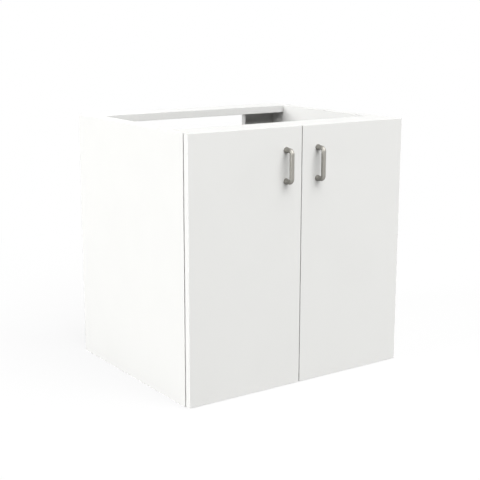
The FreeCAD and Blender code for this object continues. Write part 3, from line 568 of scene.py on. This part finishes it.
# Screws, one on each screw solid: shank radius, head height (none where the head lies flush), recess width
# and depth, in mm. Screws in a door are driven to the front, the others into the side they are nearest to.
SCREW_SIZES = {"plate_screws": (2.4, 2.0, 1.0, 1.5), "arm_clamp_screws": (2.5, 2.2, 1.1, 1.6),
               "arm_adjusting_screws": (2.5, 2.2, 1.1, 1.6), "cleat_screws": (2.0, None, 1.0, 1.5)}
for side in SIDES:
    SCREW_SIZES[side + "_cup_screws"] = (1.75, 1.0, 0.9, 1.2)
    SCREW_SIZES[side + "_handle_screws"] = (2.0, 2.2, 1.0, 1.5)
SCREW_CRISP = 35  # degrees
TO_FRONT = Vector((0, -1, 0))
cross_head = screw_tree()
for seed, (node, (shank, head_height, recess, recess_depth)) in enumerate(SCREW_SIZES.items()):
    tops, drives, spans = [], [], []
    for low, high in solids_of(node):
        centre, half = (low + high) / 2, (high - low) / 2
        to_side = Vector((math.copysign(1, centre.x), 0, 0))
        drive = TO_FRONT if BODY_OF[node].endswith("_door") else to_side
        tops.append(centre - Vector(d * h for d, h in zip(drive, half)))
        drives.append(drive)
        spans.append((2 * abs(drive.dot(half)), half.z))
    length, head_radius = spans[0]
    seats = bpy.data.meshes.new(node + "_seats")
    seats.from_pydata(tops, [], [])
    ways = seats.attributes.new("drive", "FLOAT_VECTOR", "POINT")
    ways.data.foreach_set("vector", [c for drive in drives for c in drive])
    maker = grown(cross_head, seats, {
        "Length": length, "Shank Radius": shank * MM, "Head Radius": head_radius,
        "Head Height": (head_height or 0.0) * MM, "Countersunk": head_height is None,
        "Recess Width": recess * MM, "Recess Depth": recess_depth * MM, "Seed": seed, "Finish": ZINC_PLATE})
    piece = as_mesh(maker, node + "_driven")
    piece.data.set_sharp_from_angle(angle=math.radians(SCREW_CRISP))
    settled(piece, BODY_OF[node], SLOT_OF[node], node)


# Camera, matched to the photograph: eye and sensor in mm, angles in degrees, focal length and axis in pixels
EYE = (-1426.3, -2060.4, 848.5)
YAW, PITCH, ROLL = 35.532, 11.987, 0.293
FOCAL_PX, FRAME_PX = 1044.4, 480.0
AXIS_PX = (256.5, 232.5)
SENSOR = 36.0
FARTHEST = 100  # metres
yaw, pitch, roll = (math.radians(a) for a in (YAW, PITCH, ROLL))
ahead = Vector((math.sin(yaw) * math.cos(pitch), math.cos(yaw) * math.cos(pitch), -math.sin(pitch)))
level_right = Vector((math.cos(yaw), -math.sin(yaw), 0))
level_up = level_right.cross(ahead)
right = level_right * math.cos(roll) + level_up * math.sin(roll)
up = level_up * math.cos(roll) - level_right * math.sin(roll)
lens = bpy.data.cameras.new("studio_camera")
lens.sensor_width = SENSOR
lens.lens = FOCAL_PX / FRAME_PX * SENSOR
lens.shift_x = (FRAME_PX / 2 - AXIS_PX[0]) / FRAME_PX
lens.shift_y = (AXIS_PX[1] - FRAME_PX / 2) / FRAME_PX
lens.clip_end = FARTHEST
camera = bpy.data.objects.new("studio_camera", lens)
turned = Matrix((right, up, -ahead)).transposed().to_4x4()
camera.matrix_world = Matrix.Translation(Vector(EYE) * MM) @ turned
bpy.context.scene.collection.objects.link(camera)
bpy.context.scene.camera = camera

# Stage and light
FREE_BOUNCES = 1024  # as good as no limit


def softbox(name, place, aim, width, height, power, bounces=FREE_BOUNCES):
    """Rectangular area lamp that looks at a point. Its light counts up to this many bounces off surfaces."""
    lamp = bpy.data.lights.new(name, "AREA")
    lamp.shape = "RECTANGLE"
    lamp.size = width
    lamp.size_y = height
    lamp.energy = power
    lamp.cycles.max_bounces = bounces
    holder = bpy.data.objects.new(name, lamp)
    facing = (Vector(aim) - Vector(place)).to_track_quat("-Z", "Y")
    holder.matrix_world = Matrix.Translation(place) @ facing.to_matrix().to_4x4()
    bpy.context.scene.collection.objects.link(holder)


# Two keys at the levels that the photograph's doors, tops and left side ask for. Their light hardly bounces,
# so that the shade under the rear rail stays deep. A low fill levels the doors, and two weak fills light the
# far sides.
softbox("left_key", (-11.0, 1.2, 2.4), aim=(0, 0, 0.3), width=4.5, height=2.2, power=1190, bounces=0)
softbox("front_key", (0.7, -11.8, 15.2), aim=(0, 0, 0.1), width=18.0, height=17.0, power=5130, bounces=1)
softbox("front_fill", (0.0, -12.0, 1.35), aim=(0, 0, 0.4), width=6.0, height=0.8, power=90, bounces=0)
softbox("right_fill", (4.6, -0.2, 1.4), aim=(0, 0, 0.3), width=3.0, height=3.0, power=60)
softbox("back_fill", (0.8, 4.8, 1.6), aim=(0, 0, 0.3), width=3.0, height=3.0, power=25)


def seen_directly(tree):
    """1 for the rays that show a surface as background: from the camera, mirrored or through glass."""
    ray = add(tree, "ShaderNodeLightPath").outputs
    seen = add(tree, "ShaderNodeMath", {
        0: ray["Is Camera Ray"], 1: ray["Is Glossy Ray"]}, operation="MAXIMUM")
    return add(tree, "ShaderNodeMath", {
        0: seen.outputs[0], 1: ray["Is Transmission Ray"]}, operation="MAXIMUM").outputs[0]


# White room, which gives the pieces only a little light of its own
WHITE, AMBIENT = linear(ROOM_WHITE), 0.05
world = bpy.data.worlds.new("studio")
world.use_nodes = True
sky = world.node_tree
sky.nodes.clear()
ambient = add(sky, "ShaderNodeBackground", {"Color": WHITE, "Strength": AMBIENT})
white = add(sky, "ShaderNodeBackground", {"Color": WHITE, "Strength": 1.0})
both = add(sky, "ShaderNodeMixShader", {0: seen_directly(sky), 1: ambient.outputs[0], 2: white.outputs[0]})
add(sky, "ShaderNodeOutputWorld", {"Surface": both.outputs[0]})
bpy.context.scene.world = world

# Floor: near the cabinet a dark matt paint with a pale glow, which the keys lift to white so that the shadow
# stays faint, and plain white further out. Light that bounces off it meets a mid grey.
FLOOR_REACH, FLOOR_NEAR, FLOOR_FAR, FLOOR_GLOW = 40.0, 0.7, 1.6, 0.87
CORNERS = ((-1, -1), (1, -1), (1, 1), (-1, 1))
floor_mesh = bpy.data.meshes.new("floor")
floor_mesh.from_pydata([(x * FLOOR_REACH, y * FLOOR_REACH, 0) for x, y in CORNERS], [], [(0, 1, 2, 3)])
floor = bpy.data.objects.new("floor", floor_mesh)
bpy.context.scene.collection.objects.link(floor)
floor_paint, tree = new_material("matt_floor_paint")
place = add(tree, "ShaderNodeTexCoord").outputs
away = add(tree, "ShaderNodeVectorMath", {0: place["Object"]}, operation="LENGTH")
fade = add(tree, "ShaderNodeMapRange", {
    "Value": away.outputs["Value"], "From Min": FLOOR_NEAR, "From Max": FLOOR_FAR},
    interpolation_type="SMOOTHSTEP")
matt = add(tree, "ShaderNodeBsdfDiffuse", {"Color": linear(FLOOR_PALE)})
shaded = add(tree, "ShaderNodeBsdfDiffuse", {"Color": linear(FLOOR_SHADED)})
glow = add(tree, "ShaderNodeEmission", {"Color": WHITE, "Strength": FLOOR_GLOW})
near = add(tree, "ShaderNodeAddShader", {0: shaded.outputs[0], 1: glow.outputs[0]})
far = add(tree, "ShaderNodeEmission", {"Color": WHITE, "Strength": 1.0})
pale = add(tree, "ShaderNodeMixShader", {0: fade.outputs["Result"], 1: near.outputs[0], 2: far.outputs[0]})
both = add(tree, "ShaderNodeMixShader", {0: seen_directly(tree), 1: matt.outputs[0], 2: pale.outputs[0]})
add(tree, "ShaderNodeOutputMaterial", {"Surface": both.outputs[0]})
floor_mesh.materials.append(floor_paint)

bpy.context.scene.view_settings.view_transform = "Standard"
